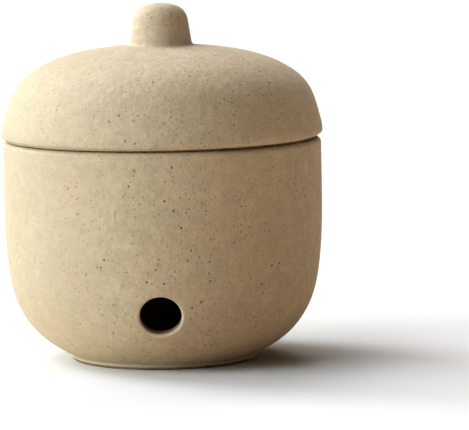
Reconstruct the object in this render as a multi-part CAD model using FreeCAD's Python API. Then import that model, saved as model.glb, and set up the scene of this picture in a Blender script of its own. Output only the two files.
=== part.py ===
import FreeCAD, Part
import math
import os

# A garlic keeper: a stoneware jar with a vent hole low on its front, and a domed lid that lifts
# off. Millimetres and degrees. +Z is up, the vent faces -Y, and the origin is the centre of the
# foot's underside. Both pieces are turned forms: each outline lies in the XZ plane, runs down
# from top to bottom, and is revolved about Z.

os.makedirs("parts", exist_ok=True)

Vector = FreeCAD.Vector
ORIGIN = Vector(0, 0, 0)
UP = Vector(0, 0, 1)
DOWN = Vector(0, 0, -1)
OUT = Vector(1, 0, 0)
IN = Vector(-1, 0, 0)

# Jar, outside. An inset is how far inside the belly's radius a point of the wall lies.
belly_radius = 67.5
belly_drop = 23.3
rim_height = 93.3
rim_inset = 0.1
rim_edge_radius = 2.2
mouth_edge_radius = 0.6
hip_inset = 1.3
hip_height = 41.0
flank_inset = 5.2
flank_height = 24.0
flare_inset = 15.2
flare_height = 10.1
foot_radius = 39.75
foot_height = 2.2
foot_flare_angle = 27.0
foot_edge_radius = 1.2
foot_crease_radius = 1.2

# Jar, inside and underneath
jar_wall = 4.6
jar_floor = 5.5
floor_bowl_height = 7.0
foot_recess_depth = 1.8
foot_ring_width = 6.5
foot_ring_inner_edge = 0.8

# Vent, square to the wall
vent_radius = 8.65
vent_height = 25.3
vent_lip_radius = 1.1

# Lid, outside. Heights are above the seat, and an inset is measured in from the lid's edge.
lid_overhang = 0.6
crown_height = 40.0
brow_inset = 38.0
brow_height = 37.85
shoulder_inset = 18.8
shoulder_height = 32.3
corner_inset = 5.8
corner_height = 22.0
skirt_inset = 0.8
skirt_height = 7.9
lid_band_height = 1.5
lid_chamfer_width = 1.9
lid_chamfer_height = 1.2
lid_chamfer_edge = 1.2

# Lid, where it bears on the jar: a narrow ring on the inner part of the rim holds the lid's edge
# off the rim, which leaves a dark line all round
shadow_gap = 0.8
seat_width = 1.5

# Lid, inside
lid_wall = 5.0
flange_depth = 8.2
flange_wall = 4.2
flange_clearance = 0.9
flange_edge_radius = 1.5

# Knob, with the hollow that keeps its wall even in firing
knob_root_radius = 13.2
knob_neck_height = 14.3
knob_taper_angle = 9.0
knob_crown_rise = 3.2
knob_edge_radius = 7.5
knob_fillet_radius = 2.0
knob_wall = 7.0

# Points along a wall that its inner face is worked out from
wall_steps = 16


def at(radius, height):
    return Vector(radius, 0, height)


def smooth_line(points, first_tangent, last_tangent):
    """A smooth curve through the points, leaving and arriving along the tangents."""
    curve = Part.BSplineCurve()
    curve.interpolate(Points=points, InitialTangent=first_tangent, FinalTangent=last_tangent)
    return curve


def inset_points(curve, distance):
    """Evenly spaced points of a downward curve, moved towards the axis, square to the curve."""
    points = []
    for step in range(wall_steps + 1):
        span = curve.LastParameter - curve.FirstParameter
        place = curve.FirstParameter + span * step / wall_steps
        along = curve.tangent(place)[0]
        inward = Vector(along.z, 0, -along.x)
        points.append(curve.value(place) + inward * distance)
    return points


def point_at_height(curve, height):
    """Where a curve of the XZ plane passes a height."""
    level = Part.LineSegment(at(0, height), at(3 * belly_radius, height))
    crossing = curve.intersectCC(level)[0]
    return at(crossing.X, height)


def straight(*points):
    """The straight edges that join the points."""
    return [Part.makeLine(first, second) for first, second in zip(points, points[1:])]


def turned(edges):
    """The solid that a closed outline makes when it is revolved about Z."""
    face = Part.Face(Part.Wire(edges))
    return face.revolve(ORIGIN, UP, 360)


def level_circles(shape, radius, height, reach=0.02):
    """The shape's circular edges about Z that lie within reach of a radius and a height."""
    found = []
    for edge in shape.Edges:
        box = edge.BoundBox
        level = abs(box.ZMin - height) < reach and abs(box.ZMax - height) < reach
        if level and abs(box.XMax - radius) < reach and abs(box.YMax - radius) < reach:
            found.append(edge)
    return found


def rounded(shape, fillet_radius, radius, height, reach=0.02):
    """The shape with its circular edge at a radius and height rounded off."""
    edges = level_circles(shape, radius, height, reach)
    return shape.makeFillet(fillet_radius, edges).Solids[0]


def jar_outline():
    """The jar's outside, from the rim down to the foot ring."""
    flare = math.radians(foot_flare_angle)
    return smooth_line(
        [
            at(belly_radius - rim_inset, rim_height),
            at(belly_radius, rim_height - belly_drop),
            at(belly_radius - hip_inset, hip_height),
            at(belly_radius - flank_inset, flank_height),
            at(belly_radius - flare_inset, flare_height),
            at(foot_radius, foot_height),
        ],
        DOWN,
        at(-math.cos(flare), -math.sin(flare)),
    )


def jar_inside_outline():
    """The jar's inner face, from the mouth down to where the bowl meets the flat floor."""
    floor_height = foot_recess_depth + jar_floor
    wall = [p for p in inset_points(jar_side, jar_wall) if p.z > floor_height + floor_bowl_height]
    wall[0] = at(wall[0].x, rim_height)
    return smooth_line(wall + [at(foot_radius - jar_wall, floor_height)], DOWN, IN)


# What both pieces are made from

jar_side = jar_outline()
jar_inside = jar_inside_outline()
rim_point = jar_side.StartPoint
mouth_point = jar_inside.StartPoint
seat_radius = mouth_point.x + seat_width
throat_radius = min(
    mouth_point.x,
    point_at_height(jar_inside, rim_height - flange_depth).x,
)
flange_radius = throat_radius - flange_clearance
flange_inner_radius = flange_radius - flange_wall
flange_bottom = rim_height - flange_depth
lid_radius = rim_point.x + lid_overhang
lid_bottom = rim_height + shadow_gap
crown_top = rim_height + crown_height


def jar_body():
    """The thrown body, solid, with its foot ring."""
    recess_radius = foot_radius - foot_ring_width
    edges = [jar_side.toShape()]
    edges += straight(
        jar_side.EndPoint,
        at(foot_radius, 0),
        at(recess_radius, 0),
        at(recess_radius, foot_recess_depth),
        at(0, foot_recess_depth),
        at(0, rim_height),
        rim_point,
    )
    body = turned(edges)
    largest = 0.55 * foot_height
    body = rounded(body, min(foot_crease_radius, largest), foot_radius, foot_height)
    body = rounded(body, min(foot_edge_radius, largest), foot_radius, 0)
    return rounded(body, min(foot_ring_inner_edge, 0.6 * foot_recess_depth), recess_radius, 0)


def jar_chamber():
    """The space inside the jar."""
    edges = [jar_inside.toShape()]
    edges += straight(
        jar_inside.EndPoint,
        at(0, jar_inside.EndPoint.z),
        at(0, rim_height),
        mouth_point,
    )
    return turned(edges)


def vent():
    """The drill that makes the round vent, square to the front wall."""
    outside = point_at_height(jar_side, vent_height)
    along = jar_side.tangent(jar_side.parameter(outside))[0]
    outward = Vector(-along.z, 0, along.x)
    drill = Part.makeCylinder(
        vent_radius, 4 * jar_wall, outside - outward * 2 * jar_wall, outward
    )
    drill.rotate(ORIGIN, UP, -90)
    return drill


def vent_lips(jar):
    """The edges where the vent meets the wall's two faces."""
    lips = []
    for edge in jar.Edges:
        box = edge.BoundBox
        in_front = box.YMax < 0 and max(-box.XMin, box.XMax) < 1.2 * vent_radius
        if in_front and box.XLength > vent_radius / 4:
            lips.append(edge)
    return lips


def make_jar():
    jar = jar_body().cut(jar_chamber())
    jar = rounded(jar, min(rim_edge_radius, 0.5 * jar_wall), rim_point.x, rim_height)
    jar = rounded(jar, min(mouth_edge_radius, 0.3 * jar_wall), mouth_point.x, rim_height)
    jar = jar.cut(vent())
    return jar.makeFillet(min(vent_lip_radius, 0.3 * jar_wall), vent_lips(jar)).Solids[0]


def dome_outline():
    """The dome's outside, from the crown down to the upright band above its chamfer."""
    return smooth_line(
        [
            at(0, crown_top),
            at(lid_radius - brow_inset, rim_height + brow_height),
            at(lid_radius - shoulder_inset, rim_height + shoulder_height),
            at(lid_radius - corner_inset, rim_height + corner_height),
            at(lid_radius - skirt_inset, rim_height + skirt_height),
            at(lid_radius, lid_bottom + lid_chamfer_height + lid_band_height),
        ],
        OUT,
        DOWN,
    )


def dome():
    """The lid's outside without its knob, solid, with its chamfered lower edge."""
    outline = dome_outline()
    chamfer_top = lid_bottom + lid_chamfer_height
    edges = [outline.toShape()]
    edges += straight(
        outline.EndPoint,
        at(lid_radius, chamfer_top),
        at(lid_radius - lid_chamfer_width, lid_bottom),
        at(0, lid_bottom),
        at(0, crown_top),
    )
    edge_rounding = min(lid_chamfer_edge, lid_band_height)
    return rounded(turned(edges), edge_rounding, lid_radius, chamfer_top)


def dome_space():
    """The hollow under the dome, down through the flange."""
    reach = flange_inner_radius - lid_wall / 2
    inner = [p for p in inset_points(dome_outline(), lid_wall) if p.x < reach]
    outline = smooth_line(inner + [at(flange_inner_radius, rim_height)], OUT, DOWN)
    edges = [outline.toShape()]
    edges += straight(
        outline.EndPoint,
        at(flange_inner_radius, flange_bottom),
        at(0, flange_bottom),
        outline.StartPoint,
    )
    return turned(edges)


def seat():
    """The ring that bears on the rim, from its face to inside the lid's wall."""
    return Part.makeCylinder(seat_radius, shadow_gap + lid_wall / 2, at(0, rim_height), UP)


def flange():
    """The ring that keeps the lid centred in the jar's mouth, from its tip to above the seat."""
    return Part.makeCylinder(flange_radius, flange_depth + lid_wall, at(0, flange_bottom), UP)


def knob():
    """The knob, from inside the dome's wall to its crown."""
    slope = math.tan(math.radians(knob_taper_angle))
    sunk = lid_wall / 2
    root = at(knob_root_radius + slope * sunk, crown_top - sunk)
    neck = at(knob_root_radius - slope * knob_neck_height, crown_top + knob_neck_height)
    summit = at(0, neck.z + knob_crown_rise)
    crown_radius = (neck.x**2 + knob_crown_rise**2) / (2 * knob_crown_rise)
    half_angle = math.asin(neck.x / crown_radius) / 2
    halfway = at(
        crown_radius * math.sin(half_angle),
        summit.z - crown_radius * (1 - math.cos(half_angle)),
    )
    edges = [Part.Arc(summit, halfway, neck).toShape()]
    edges += straight(neck, root, at(0, root.z), summit)
    return rounded(turned(edges), knob_edge_radius, neck.x, neck.z)


def knob_hollow():
    """The blind, round-ended hollow up into the knob from under the dome."""
    radius = knob_root_radius - knob_wall
    end_centre = crown_top + knob_neck_height + knob_crown_rise - knob_wall - radius
    bottom = crown_top - 2 * lid_wall
    shaft = Part.makeCylinder(radius, end_centre - bottom, at(0, bottom), UP)
    return shaft.fuse(Part.makeSphere(radius, at(0, end_centre)))


def make_lid():
    lid = dome().fuse(knob()).removeSplitter()
    lid = rounded(lid, knob_fillet_radius, knob_root_radius, crown_top, reach=lid_wall / 2)
    lid = lid.fuse([seat(), flange()]).cut([dome_space(), knob_hollow()]).removeSplitter()
    tip_rounding = min(flange_edge_radius, 0.4 * flange_wall)
    lid = rounded(lid, tip_rounding, flange_radius, flange_bottom)
    return rounded(lid, tip_rounding, flange_inner_radius, flange_bottom)


make_jar().exportStep("parts/jar.step")
make_lid().exportStep("parts/lid.step")
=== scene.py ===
import math

import bpy
import numpy as np
from mathutils import Matrix, Vector, noise


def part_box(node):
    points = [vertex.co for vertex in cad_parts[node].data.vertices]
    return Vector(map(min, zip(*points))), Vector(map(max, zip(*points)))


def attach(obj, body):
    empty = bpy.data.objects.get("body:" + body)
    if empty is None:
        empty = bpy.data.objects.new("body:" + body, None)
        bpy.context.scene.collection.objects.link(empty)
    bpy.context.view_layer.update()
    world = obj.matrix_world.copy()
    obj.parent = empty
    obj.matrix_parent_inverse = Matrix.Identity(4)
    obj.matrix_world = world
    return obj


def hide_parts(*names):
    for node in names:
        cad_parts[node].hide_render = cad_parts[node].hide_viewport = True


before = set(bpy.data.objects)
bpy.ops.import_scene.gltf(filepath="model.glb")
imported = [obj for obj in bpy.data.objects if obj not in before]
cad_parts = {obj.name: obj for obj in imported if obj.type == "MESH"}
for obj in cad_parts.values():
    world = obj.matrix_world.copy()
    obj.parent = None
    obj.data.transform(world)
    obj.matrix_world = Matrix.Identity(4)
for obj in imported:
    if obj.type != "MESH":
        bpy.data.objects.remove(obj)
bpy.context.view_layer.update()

# A stoneware garlic keeper: a thrown jar with a vent hole, and a domed lid. Both pieces are turned
# forms. Their outlines are lists of (radius, height) points in millimetres, revolved about Z.

MM = 0.001
TINY = 1e-5

JAR_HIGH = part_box("jar")[1]
LID_LOW, LID_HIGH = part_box("lid")

# Jar. An inset is how far inside the belly's radius a point of the wall lies.
BELLY_RADIUS = JAR_HIGH.x / MM
RIM_HEIGHT = JAR_HIGH.z / MM
BELLY_DROP = 23.3
RIM_INSET = 0.1
RIM_ROUNDING = 2.2
MOUTH_ROUNDING = 0.6
HIP_INSET, HIP_HEIGHT = 1.3, 41.0
FLANK_INSET, FLANK_HEIGHT = 5.2, 24.0
FLARE_INSET, FLARE_HEIGHT = 15.2, 10.1
FOOT_RADIUS = 39.75
FOOT_HEIGHT = 2.2
FOOT_FLARE_ANGLE = math.radians(27.0)
FOOT_ROUNDING = 1.2
FOOT_CREASE = 1.2
FOOT_RING_WIDTH = 6.5
FOOT_RECESS = 1.8
RECESS_ROUNDING = 0.8
WALL = 4.6
FLOOR_HEIGHT = 7.3
BOWL_HEIGHT = 7.0

# Vent, square to the front wall
VENT_RADIUS = 8.65
VENT_HEIGHT = 25.3
VENT_LIP = 1.1

# Lid. Heights are above the seat, and an inset is measured in from the lid's edge.
LID_RADIUS = LID_HIGH.x / MM
SEAT_HEIGHT = RIM_HEIGHT
FLANGE_BOTTOM = LID_LOW.z / MM
KNOB_TOP = LID_HIGH.z / MM
CROWN_HEIGHT = 40.0
BROW_INSET, BROW_HEIGHT = 38.0, 37.85
SHOULDER_INSET, SHOULDER_HEIGHT = 18.8, 32.3
CORNER_INSET, CORNER_HEIGHT = 5.8, 22.0
SKIRT_INSET, SKIRT_HEIGHT = 0.8, 7.9
SHADOW_GAP = 0.8
CHAMFER_WIDTH, CHAMFER_HEIGHT = 1.9, 1.2
CHAMFER_ROUNDING = 1.2
LID_BAND = 1.5
SEAT_WIDTH = 1.5
LID_WALL = 5.0
FLANGE_CLEARANCE = 0.9
FLANGE_WALL = 4.2
FLANGE_ROUNDING = 1.5

# Knob
KNOB_ROOT_RADIUS = 13.2
KNOB_TAPER = math.radians(9.0)
KNOB_CROWN_RISE = 3.2
KNOB_EDGE = 7.5
KNOB_FILLET = 2.0
KNOB_WALL = 7.0
HOLLOW_ROUNDING = 0.7

# Mesh fineness
SEGMENTS = 288
ROW_SPACING = 0.95
LONGEST_ROW = 1.6 * ROW_SPACING
CORNER_SPACING = 0.3
CURVE_STEPS = 60
HOLLOW_STEPS = 12
CROWN_STEPS = 15
VENT_BLOCK = 9
VENT_RINGS = 6
LIP_STEPS = 7
BORE_STEPS = 4

# How much of a wall's run makes way for the rounding of the corner at its end
RIM_ROOM = 1.1 * RIM_ROUNDING
MOUTH_ROOM = 1.2 * MOUTH_ROUNDING

# An inner face is a smooth curve through points of the outer one, this many rows apart and
# moved inwards
GUIDE_STEP = 8

# The stretch of the jar's wall, in height, that the vent may lie in
WALL_LOW = FLOOR_HEIGHT + 1
WALL_HIGH = RIM_HEIGHT - 5

# The block of the wall that is left out for the vent is this high to each side of its middle,
# and the block of the inner face lies a little higher, as the bore rises inwards
BLOCK_REACH = 1.5 * VENT_RADIUS
INNER_BLOCK_RISE = 0.33 * WALL

# The rings between the block's edge and the vent's lip crowd towards the lip by this power
RING_CROWDING = 1.3

# The wall's face is looked for this far to each side of a guess, in millimetres, by halving
SEARCH_REACH = 9
SEARCH_STEPS = 30

# What a row of the mesh belongs to, which is also its material's place in the piece
# Rows of bare clay take a dark clay that is also painted shade in the seam gap and the bore
OUTSIDE, BARE_SHADED, INSIDE = 0, 1, 2


# ---------------------------------------------------------------- outlines


def smooth_curve(points, start, end):
    """Evenly spaced points of the smooth curve through the points, with unit end tangents."""
    knots = np.array(points, float)
    chords = np.hypot(*np.diff(knots, axis=0).T)
    count = len(knots)
    system = np.eye(count)
    wanted = np.zeros((count, 2))
    wanted[0], wanted[-1] = start, end
    for i in range(1, count - 1):
        before, after = chords[i - 1], chords[i]
        system[i, i - 1 : i + 2] = 1 / before, 2 / before + 2 / after, 1 / after
        rise = (knots[i] - knots[i - 1]) / before**2 + (knots[i + 1] - knots[i]) / after**2
        wanted[i] = 3 * rise
    slopes = np.linalg.solve(system, wanted)
    fine = []
    for i, chord in enumerate(chords):
        for t in np.linspace(0, 1, CURVE_STEPS, endpoint=False):
            fine.append(
                knots[i] * (1 + 2 * t) * (1 - t) ** 2
                + slopes[i] * chord * t * (1 - t) ** 2
                + knots[i + 1] * t * t * (3 - 2 * t)
                + slopes[i + 1] * chord * t * t * (t - 1)
            )
    fine = np.array(fine + [knots[-1]])
    along = np.concatenate([[0], np.cumsum(np.hypot(*np.diff(fine, axis=0).T))])
    places = np.linspace(0, along[-1], round(along[-1] / ROW_SPACING) + 1)
    return [(np.interp(p, along, fine[:, 0]), np.interp(p, along, fine[:, 1])) for p in places]


def inset_curve(points, distance):
    """The points of a downward curve, moved towards the axis, square to the curve."""
    run = np.array(points)
    along = np.gradient(run, axis=0)
    along /= np.hypot(*along.T)[:, None]
    return run + distance * np.stack([along[:, 1], -along[:, 0]], axis=1)


def between(run, gap_start, gap_end):
    """The run without the points that lie within a gap of its first and last points."""
    first, last = np.array(run[0]), np.array(run[-1])
    return [
        p
        for p in run
        if np.hypot(*(np.array(p) - first)) > gap_start
        and np.hypot(*(np.array(p) - last)) > gap_end
    ]


class Outline:
    """A path of (radius, height) rows, each with the region that it belongs to."""

    def __init__(self):
        self.path = []

    def corner(self, radius, height, region, rounding=0.0):
        """A point of the outline, rounded where a rounding is given."""
        self.path.append((np.array((radius, height)), region, rounding))

    def run(self, points, region):
        """Points of a smooth stretch."""
        for radius, height in points:
            self.corner(radius, height, region)

    def rows(self):
        """The path with its corners rounded and its long stretches divided."""
        rounded = []
        for i, (point, region, rounding) in enumerate(self.path):
            if rounding:
                before, after = self.path[i - 1][0], self.path[i + 1][0]
                rounded += [(p, region) for p in arc_at(point, before, after, rounding)]
            else:
                rounded.append((point, region))
        rows = [rounded[0]]
        for point, region in rounded[1:]:
            last = rows[-1][0]
            pieces = math.ceil(np.hypot(*(point - last)) / LONGEST_ROW)
            rows += [(last + (point - last) * k / pieces, region) for k in range(1, pieces)]
            rows.append((point, region))
        return rows


def arc_at(corner, before, after, radius):
    """The arc that rounds a corner between two points."""
    back = (before - corner) / np.hypot(*(before - corner))
    on = (after - corner) / np.hypot(*(after - corner))
    half_angle = math.acos(np.clip(back @ on, -1, 1)) / 2
    reach = radius / math.tan(half_angle)
    middle = (back + on) / np.hypot(*(back + on))
    centre = corner + middle * radius / math.sin(half_angle)
    first = corner + back * reach - centre
    last = corner + on * reach - centre
    turn = math.atan2(first[0] * last[1] - first[1] * last[0], first @ last)
    steps = max(3, round(abs(turn) * radius / CORNER_SPACING))
    points = []
    for k in range(steps + 1):
        c, s = math.cos(turn * k / steps), math.sin(turn * k / steps)
        points.append(centre + (first[0] * c - first[1] * s, first[0] * s + first[1] * c))
    return points


DOWN, OUT, IN = (0, -1), (1, 0), (-1, 0)

JAR_SIDE = smooth_curve(
    [
        (BELLY_RADIUS - RIM_INSET, RIM_HEIGHT),
        (BELLY_RADIUS, RIM_HEIGHT - BELLY_DROP),
        (BELLY_RADIUS - HIP_INSET, HIP_HEIGHT),
        (BELLY_RADIUS - FLANK_INSET, FLANK_HEIGHT),
        (BELLY_RADIUS - FLARE_INSET, FLARE_HEIGHT),
        (FOOT_RADIUS, FOOT_HEIGHT),
    ],
    DOWN,
    (-math.cos(FOOT_FLARE_ANGLE), -math.sin(FOOT_FLARE_ANGLE)),
)
INNER_WALL = [p for p in inset_curve(JAR_SIDE, WALL) if p[1] > FLOOR_HEIGHT + BOWL_HEIGHT]
MOUTH_RADIUS = INNER_WALL[0][0]
JAR_INSIDE = smooth_curve(
    [
        (MOUTH_RADIUS, RIM_HEIGHT),
        *INNER_WALL[GUIDE_STEP::GUIDE_STEP],
        (FOOT_RADIUS - WALL, FLOOR_HEIGHT),
    ],
    DOWN,
    IN,
)
DOME = smooth_curve(
    [
        (0, SEAT_HEIGHT + CROWN_HEIGHT),
        (LID_RADIUS - BROW_INSET, SEAT_HEIGHT + BROW_HEIGHT),
        (LID_RADIUS - SHOULDER_INSET, SEAT_HEIGHT + SHOULDER_HEIGHT),
        (LID_RADIUS - CORNER_INSET, SEAT_HEIGHT + CORNER_HEIGHT),
        (LID_RADIUS - SKIRT_INSET, SEAT_HEIGHT + SKIRT_HEIGHT),
        (LID_RADIUS, SEAT_HEIGHT + SHADOW_GAP + CHAMFER_HEIGHT + LID_BAND),
    ],
    OUT,
    DOWN,
)
FLANGE_RADIUS = MOUTH_RADIUS - FLANGE_CLEARANCE
FLANGE_INNER_RADIUS = FLANGE_RADIUS - FLANGE_WALL


def jar_rows():
    """The jar's outline, from the middle of its underside, over the rim, to its floor."""
    ring_inside = FOOT_RADIUS - FOOT_RING_WIDTH
    side = JAR_SIDE[::-1]
    outline = Outline()
    outline.corner(0, FOOT_RECESS, BARE_SHADED)
    outline.corner(ring_inside, FOOT_RECESS, BARE_SHADED, FOOT_CREASE)
    outline.corner(ring_inside, 0, BARE_SHADED, RECESS_ROUNDING)
    outline.corner(FOOT_RADIUS, 0, BARE_SHADED, FOOT_ROUNDING)
    outline.corner(*side[0], OUTSIDE, FOOT_CREASE)
    outline.run(between(side, FOOT_CREASE, RIM_ROOM), OUTSIDE)
    outline.corner(*side[-1], OUTSIDE, RIM_ROUNDING)
    outline.corner(MOUTH_RADIUS, RIM_HEIGHT, BARE_SHADED, MOUTH_ROUNDING)
    outline.run(between(JAR_INSIDE, MOUTH_ROOM, 0), INSIDE)
    outline.run([JAR_INSIDE[-1], (0, FLOOR_HEIGHT)], INSIDE)
    return outline.rows()


def lid_rows():
    """The lid's outline, from the end of the knob's hollow, round the edge, to the knob's top."""
    hollow_radius = KNOB_ROOT_RADIUS - KNOB_WALL
    hollow_centre = KNOB_TOP - KNOB_WALL - hollow_radius
    reach = FLANGE_INNER_RADIUS - LID_WALL / 2
    inner = [p for p in inset_curve(DOME, LID_WALL) if p[0] < reach]
    ceiling = smooth_curve(inner[::GUIDE_STEP] + [(FLANGE_INNER_RADIUS, SEAT_HEIGHT)], OUT, DOWN)
    ceiling = [p for p in ceiling if p[0] > hollow_radius + 2 * HOLLOW_ROUNDING]
    outline = Outline()
    for step in range(HOLLOW_STEPS + 1):
        angle = math.pi / 2 * step / HOLLOW_STEPS
        radius = hollow_radius * math.sin(angle)
        outline.corner(radius, hollow_centre + hollow_radius * math.cos(angle), INSIDE)
    outline.corner(hollow_radius, ceiling[0][1], INSIDE, HOLLOW_ROUNDING)
    outline.run(ceiling, INSIDE)
    outline.corner(FLANGE_INNER_RADIUS, FLANGE_BOTTOM, BARE_SHADED, FLANGE_ROUNDING)
    outline.corner(FLANGE_RADIUS, FLANGE_BOTTOM, BARE_SHADED, FLANGE_ROUNDING)
    outline.corner(FLANGE_RADIUS, SEAT_HEIGHT, BARE_SHADED)
    seat_radius = MOUTH_RADIUS + SEAT_WIDTH
    underside = SEAT_HEIGHT + SHADOW_GAP
    outline.corner(seat_radius, SEAT_HEIGHT, BARE_SHADED)
    outline.corner(seat_radius, underside, BARE_SHADED)
    outline.corner(LID_RADIUS - CHAMFER_WIDTH, underside, BARE_SHADED)
    outline.corner(LID_RADIUS, underside + CHAMFER_HEIGHT, OUTSIDE, CHAMFER_ROUNDING)
    root = [p for p in DOME if p[0] > KNOB_ROOT_RADIUS][0]
    dome = [p for p in DOME if p[0] > root[0] + KNOB_FILLET]
    outline.run(dome[::-1], OUTSIDE)
    outline.corner(*root, OUTSIDE, KNOB_FILLET)
    neck_height = KNOB_TOP - KNOB_CROWN_RISE
    neck_radius = root[0] - math.tan(KNOB_TAPER) * (neck_height - root[1])
    outline.corner(neck_radius, neck_height, OUTSIDE, KNOB_EDGE)
    crown_radius = (neck_radius**2 + KNOB_CROWN_RISE**2) / (2 * KNOB_CROWN_RISE)
    # The knob's rounded edge takes the place of the outer third of its crown
    for radius in np.linspace(neck_radius, 0, CROWN_STEPS + 1)[CROWN_STEPS // 3 :]:
        drop = crown_radius - math.sqrt(crown_radius**2 - radius**2)
        outline.corner(radius, KNOB_TOP - drop, OUTSIDE)
    return outline.rows()


# ---------------------------------------------------------------- meshes


class Skin:
    """The vertices and faces of a turned piece, in millimetres."""

    def __init__(self):
        self.points = []
        self.faces = []
        self.regions = []

    def add(self, point):
        self.points.append(tuple(point))
        return len(self.points) - 1

    def face(self, corners, region):
        self.faces.append(corners)
        self.regions.append(region)

    def strip(self, first, second, region):
        """Faces between two closed loops of vertices."""
        count = len(first)
        for k in range(count):
            after = (k + 1) % count
            self.face((first[k], first[after], second[after], second[k]), region)


def revolve(skin, rows, holes=()):
    """Revolves the rows about Z. A hole is (first row, last row) of a block left out in front."""
    rings = []
    for (radius, height), _ in rows:
        if radius == 0:
            rings.append([skin.add((0, 0, height))] * SEGMENTS)
            continue
        ring = []
        for j in range(SEGMENTS):
            turn = 2 * math.pi * j / SEGMENTS
            ring.append(skin.add((radius * math.sin(turn), -radius * math.cos(turn), height)))
        rings.append(ring)
    for i in range(len(rows) - 1):
        region = rows[i + 1][1]
        in_hole = any(low <= i < high for low, high in holes)
        for j in range(SEGMENTS):
            k = (j + 1) % SEGMENTS
            if in_hole and (j < VENT_BLOCK or j >= SEGMENTS - VENT_BLOCK):
                continue
            corners = (rings[i][j], rings[i][k], rings[i + 1][k], rings[i + 1][j])
            skin.face(tuple(dict.fromkeys(corners)), region)
    return rings


def block_edge(rings, low, high):
    """The vertices round the block in front, counterclockwise as seen from outside."""
    columns = range(-VENT_BLOCK, VENT_BLOCK + 1)
    step = 1 if high > low else -1
    across = [rings[low][j] for j in columns]
    up = [rings[i][VENT_BLOCK] for i in range(low + step, high, step)]
    back = [rings[high][j] for j in reversed(columns)]
    down = [rings[i][-VENT_BLOCK] for i in range(high - step, low, -step)]
    return across + up + back + down


def wall_radius(rows, region):
    """The radius of the jar's wall as a function of height, on one of its two faces."""
    wall = [p for p, r in rows if r == region and WALL_LOW < p[1] < WALL_HIGH]
    wall.sort(key=lambda p: p[1])
    heights = [p[1] for p in wall]
    radii = [p[0] for p in wall]
    return lambda height: np.interp(height, heights, radii)


def vent_tilt(radius_at):
    """How far the bore points below the horizontal, square to the wall."""
    return math.atan((radius_at(VENT_HEIGHT + 1) - radius_at(VENT_HEIGHT - 1)) / 2)


class Vent:
    """The bore's own axes: its centre on the outer wall, its outward axis, across and up."""

    def __init__(self, radius_at):
        tilt = vent_tilt(radius_at)
        self.centre = np.array((0, -radius_at(VENT_HEIGHT), VENT_HEIGHT))
        self.axis = np.array((0, -math.cos(tilt), -math.sin(tilt)))
        self.up = np.array((0, -math.sin(tilt), math.cos(tilt)))
        self.across = np.array((1, 0, 0))

    def flat(self, point):
        """A point's place across and up, seen along the bore."""
        offset = np.array(point) - self.centre
        return np.array((offset @ self.across, offset @ self.up))

    def place(self, flat, depth):
        """The point at a place seen along the bore, so far outwards along it."""
        return self.centre + flat[0] * self.across + flat[1] * self.up + depth * self.axis

    def depth_of(self, flat, radius_at, guess):
        """How far outwards along the bore the wall's face lies at a place."""
        low, high = guess - SEARCH_REACH, guess + SEARCH_REACH
        for _ in range(SEARCH_STEPS):
            middle = (low + high) / 2
            x, y, z = self.place(flat, middle)
            if math.hypot(x, y) < radius_at(z):
                low = middle
            else:
                high = middle
        return (low + high) / 2


def vent_half(skin, vent, edge, directions, radius_at, guess, side, region):
    """The skin from a block's edge to the bore, over the rounded lip. Returns the last loop."""
    edge_places = [vent.flat(skin.points[k]) for k in edge]
    loop = edge
    lip_radius = VENT_RADIUS + VENT_LIP
    for ring in range(1, VENT_RINGS + 1):
        share = 1 - (1 - ring / VENT_RINGS) ** RING_CROWDING
        new = []
        for direction, place in zip(directions, edge_places):
            flat = place + (direction * lip_radius - place) * share
            new.append(skin.add(vent.place(flat, vent.depth_of(flat, radius_at, guess))))
        join(skin, loop, new, side, region)
        loop = new
    for step in range(1, LIP_STEPS + 1):
        angle = math.pi / 2 * step / LIP_STEPS
        radius = lip_radius - VENT_LIP * math.sin(angle)
        fall = VENT_LIP * (1 - math.cos(angle)) * side
        new = []
        for direction in directions:
            flat = direction * radius
            depth = vent.depth_of(flat, radius_at, guess) - fall
            new.append(skin.add(vent.place(flat, depth)))
        join(skin, loop, new, side, region)
        loop = new
    return loop


def join(skin, first, second, side, region):
    """Faces between two loops, turned outwards on the outer side (1) and inwards on the inner."""
    if side > 0:
        skin.strip(first, second, region)
    else:
        skin.strip(second, first, region)


def cut_vent(skin, rings, rows, outer_block, inner_block):
    """Fills the two blocks left out of the jar's wall with the vent's lips and a bore of dark bare
    clay, darkened as painted shade.
    """
    outer_radius = wall_radius(rows, OUTSIDE)
    inner_radius = wall_radius(rows, INSIDE)
    vent = Vent(outer_radius)
    outer_edge = block_edge(rings, *outer_block)
    inner_edge = block_edge(rings, *reversed(inner_block))
    directions = []
    for k in outer_edge:
        place = vent.flat(skin.points[k])
        directions.append(place / np.hypot(*place))
    outer = vent_half(skin, vent, outer_edge, directions, outer_radius, 0, 1, OUTSIDE)
    inner = vent_half(skin, vent, inner_edge, directions, inner_radius, -WALL, -1, INSIDE)
    loop = outer
    for step in range(1, BORE_STEPS):
        new = []
        for a, b in zip(outer, inner):
            start, end = np.array(skin.points[a]), np.array(skin.points[b])
            new.append(skin.add(start + (end - start) * step / BORE_STEPS))
        skin.strip(loop, new, BARE_SHADED)
        loop = new
    skin.strip(loop, inner, BARE_SHADED)


def block_rows(rows, region, centre_height, count):
    """The first and last row of a block of so many rows about a height of one wall face."""
    near = min(
        (abs(p[1] - centre_height), i) for i, (p, r) in enumerate(rows) if r == region
    )[1]
    return near - count // 2, near - count // 2 + count


# The unevenness of thrown clay: how deep its turning rings and its slow waves are, by region
RELIEF = {OUTSIDE: (0.009, 0.12), BARE_SHADED: (0.0, 0.0), INSIDE: (0.09, 0.12)}
WAVE_LENGTH = 34.0
BROAD_RING_LENGTH, BROAD_RING_HEIGHT = 70.0, 6.5
FINE_RING_LENGTH, FINE_RING_HEIGHT = 45.0, 1.7
FINE_RING_PLACE = 50.0


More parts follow.
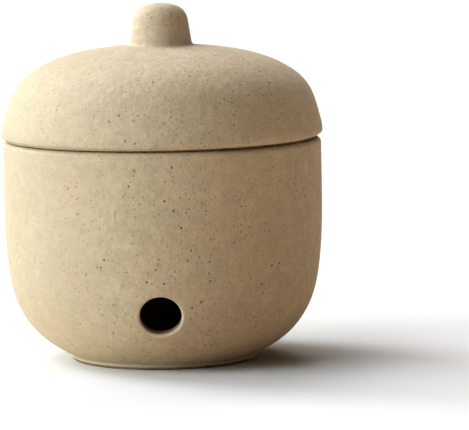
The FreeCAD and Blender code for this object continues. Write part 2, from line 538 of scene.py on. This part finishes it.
def relief(x, y, z, rings, waves):
    """How far the clay lies inside its ideal form here, in millimetres."""
    slow = noise.noise(Vector((x, y, z)) / WAVE_LENGTH)
    broad_place = (x / BROAD_RING_LENGTH, y / BROAD_RING_LENGTH, z / BROAD_RING_HEIGHT)
    broad = noise.noise(Vector(broad_place))
    fine_height = z / FINE_RING_HEIGHT + FINE_RING_PLACE
    fine = noise.noise(Vector((x / FINE_RING_LENGTH, y / FINE_RING_LENGTH, fine_height)))
    return waves * (0.5 + 0.5 * slow) + rings * (1.0 + 0.6 * broad + 0.4 * fine)


# The lid warped a little in the kiln: above its seat it falls to the left
LID_LEAN = math.radians(0.4)
LEAN_REACH = 30.0


def leaning(places):
    """The lid's places with its lower edge out of level, fading towards the knob."""
    height = places[:, 2] - SEAT_HEIGHT
    share = np.clip(height / SHADOW_GAP, 0, 1) * np.exp(-((height / LEAN_REACH) ** 2))
    places[:, 2] += math.tan(LID_LEAN) * places[:, 0] * share
    return places


def finished(name, skin, materials, shaped=lambda places: places):
    """The piece's mesh object in metres, with its relief, smooth shading and materials."""
    mesh = bpy.data.meshes.new(name)
    mesh.from_pydata([(x * MM, y * MM, z * MM) for x, y, z in skin.points], [], skin.faces)
    mesh.polygons.foreach_set("material_index", skin.regions)
    mesh.polygons.foreach_set("use_smooth", [True] * len(skin.faces))
    normals = np.zeros(3 * len(skin.points))
    mesh.vertex_normals.foreach_get("vector", normals)
    places = np.array(skin.points)
    depths = np.full((len(skin.points), 2), 1.0)
    for corners, region in zip(skin.faces, skin.regions):
        for k in corners:
            depths[k] = np.minimum(depths[k], RELIEF[region])
    sunk = [relief(*p, *depth) if depth.any() else 0.0 for p, depth in zip(places, depths)]
    places -= normals.reshape(-1, 3) * np.array(sunk)[:, None]
    mesh.vertices.foreach_set("co", shaped(places).ravel() * MM)
    for material in materials:
        mesh.materials.append(material)
    mesh.validate()
    mesh.update()
    piece = bpy.data.objects.new(name, mesh)
    bpy.context.scene.collection.objects.link(piece)
    return piece


def make_jar(materials):
    """The jar, with a block of each wall face left out and filled by the vent."""
    rows = jar_rows()
    count = 2 * round(BLOCK_REACH / ROW_SPACING)
    outer_block = block_rows(rows, OUTSIDE, VENT_HEIGHT, count)
    inner_block = block_rows(rows, INSIDE, VENT_HEIGHT + INNER_BLOCK_RISE, count)
    skin = Skin()
    rings = revolve(skin, rows, (outer_block, inner_block))
    cut_vent(skin, rings, rows, outer_block, inner_block)
    return finished("jar_stoneware", skin, materials)


def make_lid(materials):
    """The lid and its knob."""
    skin = Skin()
    revolve(skin, lid_rows())
    return finished("lid_stoneware", skin, materials, leaning)


# ---------------------------------------------------------------- materials


class Shader:
    """A material's node tree, with short calls for the nodes that it is built from."""

    def __init__(self, name):
        self.material = bpy.data.materials.new(name)
        self.material.use_nodes = True
        self.tree = self.material.node_tree
        self.surface = self.tree.nodes["Principled BSDF"]
        place = self.tree.nodes.new("ShaderNodeTexCoord").outputs["Object"]
        self.place = self.vector("MULTIPLY", place, (1 / MM, 1 / MM, 1 / MM))
        split = self.tree.nodes.new("ShaderNodeSeparateXYZ")
        self.put(split.inputs[0], self.place)
        self.across, self.ahead, self.height = split.outputs

    def put(self, socket, value):
        """Links another node's output to an input, or gives the input a plain value."""
        if isinstance(value, bpy.types.NodeSocket):
            self.tree.links.new(value, socket)
        else:
            socket.default_value = value

    def vector(self, operation, first, second):
        made = self.tree.nodes.new("ShaderNodeVectorMath")
        made.operation = operation
        self.put(made.inputs[0], first)
        self.put(made.inputs[1], second)
        return made.outputs[0]

    def math(self, operation, first, second=0.0):
        made = self.tree.nodes.new("ShaderNodeMath")
        made.operation = operation
        self.put(made.inputs[0], first)
        self.put(made.inputs[1], second)
        return made.outputs[0]

    def fit(self, value, low, high, to_low=0.0, to_high=1.0, smooth=True):
        """The value's range low to high, mapped to another range and held there."""
        made = self.tree.nodes.new("ShaderNodeMapRange")
        made.interpolation_type = "SMOOTHSTEP" if smooth else "LINEAR"
        for socket, number in zip(made.inputs, (value, low, high, to_low, to_high)):
            self.put(socket, number)
        return made.outputs[0]

    def cloud(self, size, detail=2.0, roughness=0.5, stretch=(1, 1, 1), shift=0.0):
        """Noise about 0.5, with features about so many millimetres in size."""
        made = self.tree.nodes.new("ShaderNodeTexNoise")
        scaled = [1 / (size * s) for s in stretch]
        at = self.vector("MULTIPLY", self.place, scaled)
        if shift:
            at = self.vector("ADD", at, (shift, shift, shift))
        self.put(made.inputs["Vector"], at)
        made.inputs["Scale"].default_value = 1.0
        made.inputs["Detail"].default_value = detail
        made.inputs["Roughness"].default_value = roughness
        return made.outputs["Fac"]

    def specks(self, cell, radius, share, shift=0.0):
        """(distance from the nearest speck's middle over its radius, its random number)."""
        made = self.tree.nodes.new("ShaderNodeTexVoronoi")
        wobble = self.cloud(1.1 * radius, detail=1.0, shift=shift + 7)
        at = self.vector("ADD", self.place, (shift, 0.7 * shift, 1.3 * shift))
        self.put(made.inputs["Vector"], self.vector("DIVIDE", at, (cell, cell, cell)))
        made.inputs["Scale"].default_value = 1.0
        split = self.tree.nodes.new("ShaderNodeSeparateColor")
        self.put(split.inputs[0], made.outputs["Color"])
        reach = self.fit(split.outputs[0], 1 - share, 1.0, SMALLEST_SPECK, 1.0, smooth=False)
        shown = self.math("GREATER_THAN", split.outputs[0], 1 - share)
        reach = self.math("MULTIPLY", self.math("MULTIPLY", reach, shown), radius / cell)
        uneven = self.fit(wobble, 0.2, 0.8, 1 - SPECK_WOBBLE, 1 + SPECK_WOBBLE)
        reach = self.math("MULTIPLY", reach, uneven)
        reach = self.math("MAXIMUM", reach, TINY)
        return self.math("DIVIDE", made.outputs["Distance"], reach), split.outputs[1]

    def blend(self, amount, first, second, mode="MIX"):
        """The second colour laid over the first by an amount."""
        made = self.tree.nodes.new("ShaderNodeMix")
        made.data_type = "RGBA"
        made.blend_type = mode
        made.clamp_factor = True
        factor, below, above = [s for s in made.inputs if s.enabled]
        self.put(factor, amount)
        self.put(below, first)
        self.put(above, second)
        return [s for s in made.outputs if s.enabled][0]

    def blend_value(self, first, second, amount):
        """The first number, moved towards the second by an amount."""
        kept = self.math("MULTIPLY", first, self.math("SUBTRACT", 1.0, amount))
        return self.math("ADD", kept, self.math("MULTIPLY", amount, second))

    def bump(self, height, depth):
        """Bumps of so many millimetres, on top of any already there."""
        made = self.tree.nodes.new("ShaderNodeBump")
        made.inputs["Distance"].default_value = depth * MM
        self.put(made.inputs["Height"], height)
        normal = self.surface.inputs["Normal"]
        if normal.is_linked:
            self.put(made.inputs["Normal"], normal.links[0].from_socket)
        self.put(normal, made.outputs[0])


SAND = (0.518, 0.424, 0.272, 1)
PALE_SAND = (0.576, 0.495, 0.337, 1)
ROSY_SAND = (0.524, 0.409, 0.270, 1)
OLIVE_SAND = (0.483, 0.406, 0.246, 1)
# Paler lip round the vent: thin glaze, and a painted highlight
PALE_LIP_AND_HIGHLIGHT = (0.680, 0.580, 0.420, 1)
# Bare clay: toasted brown, darkened further as painted shade in the seam gap under the lid and in
# the vent's bore
TOASTED_CLAY_SHADED = (0.290, 0.195, 0.112, 1)
DARK_CLAY_SHADED = (0.225, 0.145, 0.080, 1)
IRON = (0.115, 0.058, 0.014, 1)
RUST = (0.300, 0.165, 0.045, 1)

# The clay's marks are fainter on the lit left, a painted highlight that washes them out: they fade
# to this share between two places across
FAINT_SHARE = 0.50
FAINT_FROM, FAINT_TO = 4, -58

# Turning streaks are this many times longer round the piece than they are high
STREAK_STRETCH = (26, 26, 1)
FINE_STREAK_STRETCH = (22, 22, 1)

# Mottling, from clouds to grain: (size in millimetres, share of its strength, place in the noise)
MOTTLES = ((6.5, 1.3, 41), (3.4, 1.5, 57), (1.5, 1.0, 23), (0.7, 0.5, 3))

# The smallest speck of a size has this share of its radius, and its outline wobbles by so much
SMALLEST_SPECK = 0.45
SPECK_WOBBLE = 0.45

# Specks of three sizes. Each stands in a cell of so many millimetres, and only a share of the
# cells has one. (cell, radius, share, darkness, strength of the pale ring, place in the noise)
SPECKS = (
    (1.1, 0.26, 0.80, 0.55, 0.0, 17.0),
    (1.6, 0.50, 0.80, 0.85, 0.0, 43.0),
    (3.6, 0.74, 0.75, 1.00, 0.30, 91.0),
)

# A pale ring on the vent's lip, partly glaze thinned at the edge and partly a painted highlight:
# how strongly, and how far outside the bore the ring reaches its full strength, begins to fade and
# ends
LIP_HIGHLIGHT_STRENGTH = 0.8
LIP_HIGHLIGHT_FULL_FROM, LIP_HIGHLIGHT_FULL_TO, LIP_HIGHLIGHT_END = 0.2, 0.5, 1.0


def painted_highlight_fade(shader):
    """How strongly the clay's marks show here: less on the lit left, where a painted highlight
    washes them out.
    """
    return shader.fit(shader.across, FAINT_TO, FAINT_FROM, FAINT_SHARE, 1.0)


def mottled(shader, colour, strength):
    """The colour with turning streaks, and with mottling of so much each way."""
    streak = shader.cloud(1.3, 3, 0.6, stretch=STREAK_STRETCH, shift=5)
    tone = shader.fit(streak, 0.25, 0.75, 0.97, 1.03)
    for size, share, shift in MOTTLES:
        cloud = shader.cloud(size, 3, 0.6, shift=shift)
        level = shader.fit(cloud, 0.28, 0.72, 1 - strength * share, 1 + strength * share)
        tone = shader.math("MULTIPLY", tone, level)
    # Mottling faded on the lit left: painted highlight
    tone = shader.blend_value(1.0, tone, painted_highlight_fade(shader))
    combined = shader.tree.nodes.new("ShaderNodeCombineColor")
    for socket in combined.inputs[:3]:
        shader.put(socket, tone)
    return shader.blend(1.0, colour, combined.outputs[0], "MULTIPLY")


def sandy(shader):
    """The glaze's colour: sandy, with rosy, olive and pale clouds."""
    colour = shader.blend(shader.fit(shader.cloud(30, 3), 0.35, 0.68), SAND, ROSY_SAND)
    olive = shader.fit(shader.cloud(22, 3, shift=31), 0.50, 0.75, 0, 0.75)
    colour = shader.blend(olive, colour, OLIVE_SAND)
    pale = shader.fit(shader.cloud(7, 4, 0.6, shift=11), 0.50, 0.80, 0, 0.6)
    return shader.blend(pale, colour, PALE_SAND)


def speckled(shader, colour, strength=1.0):
    """The colour with iron specks gathered in loose clouds, and how much of a speck is here."""
    crowd = shader.fit(shader.cloud(10, 2, shift=71), 0.40, 0.60, 0.35, 1.0)
    # Fewer specks on the lit left: painted highlight
    crowd = shader.math("MULTIPLY", crowd, painted_highlight_fade(shader))
    pits = 0.0
    for cell, radius, share, darkness, ring, shift in SPECKS:
        distance, random = shader.specks(cell, radius, share, shift)
        core = shader.fit(distance, 0.40, 1.10, 1.0, 0.0)
        core = shader.math("MULTIPLY", core, darkness * strength)
        core = shader.math("MULTIPLY", core, crowd)
        if ring:
            halo = shader.math("MULTIPLY", shader.fit(distance, 1.0, 2.3, ring, 0.0), crowd)
            colour = shader.blend(halo, colour, PALE_SAND)
        stain = shader.blend(shader.fit(random, 0.3, 0.7), IRON, RUST)
        colour = shader.blend(core, colour, stain)
        pits = shader.math("MAXIMUM", pits, core)
    return colour, pits


def from_vent(shader):
    """The distance from the vent's axis, in front of the jar, and a large number behind it."""
    tilt = vent_tilt(wall_radius(jar_rows(), OUTSIDE))
    rise = shader.math("SUBTRACT", shader.height, VENT_HEIGHT)
    up = shader.math("DIVIDE", rise, math.cos(tilt))
    squares = [shader.math("MULTIPLY", part, part) for part in (shader.across, up)]
    distance = shader.math("SQRT", shader.math("ADD", *squares))
    behind = shader.math("GREATER_THAN", shader.ahead, 0.0)
    return shader.math("ADD", distance, shader.math("MULTIPLY", behind, 2 * BELLY_RADIUS))


def pale_lip_and_painted_highlight(shader, colour):
    """The colour with a narrow, paler ring on the vent's lip: thin glaze at the edge, and a
    painted highlight.
    """
    past = shader.math("SUBTRACT", from_vent(shader), VENT_RADIUS)
    inner = shader.fit(past, 0.0, LIP_HIGHLIGHT_FULL_FROM)
    outer = shader.fit(past, LIP_HIGHLIGHT_FULL_TO, LIP_HIGHLIGHT_END, 1.0, 0.0)
    lip_highlight = shader.math("MULTIPLY", shader.math("MULTIPLY", inner, outer), LIP_HIGHLIGHT_STRENGTH)
    return shader.blend(lip_highlight, colour, PALE_LIP_AND_HIGHLIGHT)


def dress(shader, colour, roughness, specular):
    """Gives the surface its colour, roughness and specular level."""
    shader.put(shader.surface.inputs["Base Color"], colour)
    shader.put(shader.surface.inputs["Roughness"], roughness)
    shader.surface.inputs["Specular IOR Level"].default_value = specular


def stoneware():
    """The outside: a dry, speckled matte surface, with marks faded on the lit left as a painted
    highlight, and a paler vent lip of thin glaze and painted highlight.
    """
    shader = Shader("speckled_stoneware")
    colour, pits = speckled(shader, mottled(shader, sandy(shader), 0.046))
    rough = shader.fit(shader.cloud(2.2, 3, shift=19), 0.3, 0.7, 0.66, 0.80)
    dress(shader, pale_lip_and_painted_highlight(shader, colour), shader.blend_value(rough, 0.95, pits), 0.7)
    # The bumps fade on the lit left along with the painted-highlight fading of the marks
    highlight_fade = painted_highlight_fade(shader)
    shader.bump(shader.math("MULTIPLY", shader.cloud(2.6, 2, 0.5, shift=37), highlight_fade), 0.30)
    shader.bump(shader.math("MULTIPLY", shader.cloud(0.8, 3, 0.65, shift=2), highlight_fade), 0.135)
    shader.bump(shader.cloud(0.9, 2, 0.5, stretch=FINE_STREAK_STRETCH, shift=9), 0.07)
    shader.bump(shader.math("SUBTRACT", 1.0, pits), 0.06)
    return shader.material


def bare_clay_painted_shade():
    """The unglazed foot, rim, bore and flange: toasted brown in the kiln and darkened further as
    painted shade in the seam gap and the bore, dry, with open grain.
    """
    shader = Shader("bare_clay_painted_shade")
    toasted = shader.fit(shader.cloud(9, 3, shift=13), 0.35, 0.65)
    clay = mottled(shader, shader.blend(toasted, DARK_CLAY_SHADED, TOASTED_CLAY_SHADED), 0.09)
    colour, pits = speckled(shader, clay, 0.8)
    dress(shader, colour, shader.fit(shader.cloud(1.5, 3), 0.3, 0.7, 0.82, 0.95), 0.25)
    shader.bump(shader.cloud(0.4, 3, 0.7, shift=2), 0.06)
    shader.bump(shader.math("SUBTRACT", 1.0, pits), 0.05)
    return shader.material


def inner_glaze():
    """The inside: the same colour under a thin satin glaze."""
    shader = Shader("satin_glaze")
    colour, pits = speckled(shader, mottled(shader, sandy(shader), 0.05), 0.9)
    dress(shader, colour, shader.fit(shader.cloud(3, 3), 0.3, 0.7, 0.28, 0.42), 0.5)
    shader.bump(shader.cloud(1.6, 2, 0.5, shift=2), 0.02)
    shader.bump(shader.math("SUBTRACT", 1.0, pits), 0.03)
    return shader.material


# ---------------------------------------------------------------- camera, light and floor

CAMERA_PLACE = Vector((0.0, -1.4917, 0.2276))
CAMERA_AIM = Vector((0.03013, -0.00104, 0.06019))
CAMERA_ROLL = math.radians(0.77)
CAMERA_LENS = 271.0
SENSOR_WIDTH = 36.0
CLIP_START, CLIP_END = 0.1, 20.0

# The vent faces a little to the left of the camera, so the whole studio stands turned this far
STUDIO_TURN = math.radians(1.7)

# The lamps: azimuth, elevation, spread, strength and colour. Together they stand for a wide,
# soft window light from the left and behind, a little cooler from low down than from high up.
LAMPS = {
    "key": (-75, 11.5, 42, 3.28, (0.84, 0.97, 1.0)),
    "low_back": (-125, 27, 26, 1.84, (0.80, 0.91, 1.0)),
    "high_back": (-122, 60, 40, 1.55, (1.0, 0.93, 0.87)),
    "front": (-50, 52, 36, 0.70, (1.0, 0.93, 0.96)),
    "rear": (180, 48, 30, 0.72, (1.0, 0.96, 0.90)),
}
WHITE = (1.0, 1.0, 1.0, 1)
SKY_LIGHT = 0.01

# The floor, with half its width in metres. The light that it throws back on the object is pale
# on the left and warm on the right, and passes from one to the other under the object.
FLOOR_REACH = 12.0
FLOOR_SEEN = (0.90, 0.91, 0.915, 1)
FLOOR_LEFT = (0.84, 0.77, 0.68, 1)
FLOOR_RIGHT = (0.78, 0.60, 0.44, 1)
FLOOR_BLEND = 80.0


def make_camera():
    """A long lens from in front and a little above, aimed right of the object, as in the photo."""
    camera = bpy.data.objects.new("camera", bpy.data.cameras.new("camera"))
    camera.data.sensor_width = SENSOR_WIDTH
    camera.data.lens = CAMERA_LENS
    camera.data.clip_start, camera.data.clip_end = CLIP_START, CLIP_END
    aim = (CAMERA_AIM - CAMERA_PLACE).to_track_quat("-Z", "Y").to_matrix().to_4x4()
    roll = Matrix.Rotation(-CAMERA_ROLL, 4, "Z")
    turn = Matrix.Rotation(STUDIO_TURN, 4, "Z")
    camera.matrix_world = turn @ Matrix.Translation(CAMERA_PLACE) @ aim @ roll
    bpy.context.scene.collection.objects.link(camera)
    bpy.context.scene.camera = camera


def far_light(name, azimuth, elevation, spread, strength, colour):
    """A large, far light. Azimuth 0 is the camera's side, and it grows to the right."""
    turn = math.radians(azimuth) + STUDIO_TURN
    height = math.radians(elevation)
    towards = Vector((math.sin(turn), -math.cos(turn), math.tan(height)))
    lamp = bpy.data.lights.new(name, "SUN")
    lamp.angle = math.radians(spread)
    lamp.energy = strength
    lamp.color = colour
    holder = bpy.data.objects.new(name, lamp)
    holder.rotation_mode = "QUATERNION"
    holder.rotation_quaternion = towards.to_track_quat("Z", "Y")
    bpy.context.scene.collection.objects.link(holder)


def background(tree, strength):
    """A white sky of a given strength."""
    made = tree.nodes.new("ShaderNodeBackground")
    made.inputs["Color"].default_value = WHITE
    made.inputs["Strength"].default_value = strength
    return made.outputs[0]


def choose(tree, shown, otherwise, seen, output):
    """Gives an output the seen shader where shown is 1, and the other one where it is 0."""
    mix = tree.nodes.new("ShaderNodeMixShader")
    for socket, source in zip(mix.inputs, (shown, otherwise, seen)):
        tree.links.new(source, socket)
    tree.links.new(mix.outputs[0], tree.nodes[output].inputs["Surface"])


def make_lights():
    """The lamps, and a world that is white where it is seen and gives next to no light."""
    for name, settings in LAMPS.items():
        far_light(name, *settings)
    world = bpy.data.worlds.new("studio")
    bpy.context.scene.world = world
    world.use_nodes = True
    tree = world.node_tree
    tree.nodes.remove(tree.nodes["Background"])
    rays = tree.nodes.new("ShaderNodeLightPath")
    shown = rays.outputs["Is Camera Ray"]
    for kind in ("Is Glossy Ray", "Is Transmission Ray"):
        either = tree.nodes.new("ShaderNodeMath")
        either.operation = "MAXIMUM"
        tree.links.new(shown, either.inputs[0])
        tree.links.new(rays.outputs[kind], either.inputs[1])
        shown = either.outputs[0]
    choose(tree, shown, background(tree, SKY_LIGHT), background(tree, 1.0), "World Output")


def make_floor():
    """A pale floor. The camera sees it near white, so that it is white where the light is full."""
    mesh = bpy.data.meshes.new("floor")
    sides = ((-1, -1), (1, -1), (1, 1), (-1, 1))
    corners = [(x * FLOOR_REACH, y * FLOOR_REACH, 0) for x, y in sides]
    mesh.from_pydata(corners, [], [(0, 1, 2, 3)])
    shader = Shader("studio_floor")
    tree = shader.tree
    tree.nodes.remove(shader.surface)
    bouncing = tree.nodes.new("ShaderNodeBsdfDiffuse")
    seen = tree.nodes.new("ShaderNodeBsdfDiffuse")
    rightward = shader.fit(shader.across, -FLOOR_BLEND, FLOOR_BLEND)
    shader.put(bouncing.inputs["Color"], shader.blend(rightward, FLOOR_LEFT, FLOOR_RIGHT))
    shader.put(seen.inputs["Color"], FLOOR_SEEN)
    shown = tree.nodes.new("ShaderNodeLightPath").outputs["Is Camera Ray"]
    choose(tree, shown, bouncing.outputs[0], seen.outputs[0], "Material Output")
    mesh.materials.append(shader.material)
    floor = bpy.data.objects.new("floor", mesh)
    bpy.context.scene.collection.objects.link(floor)


bpy.context.scene.view_settings.view_transform = "Standard"
surfaces = [stoneware(), bare_clay_painted_shade(), inner_glaze()]

jar = make_jar(surfaces)
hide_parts("jar")
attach(jar, "jar")

lid = make_lid(surfaces)
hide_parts("lid")
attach(lid, "lid")

make_camera()
make_lights()
make_floor()
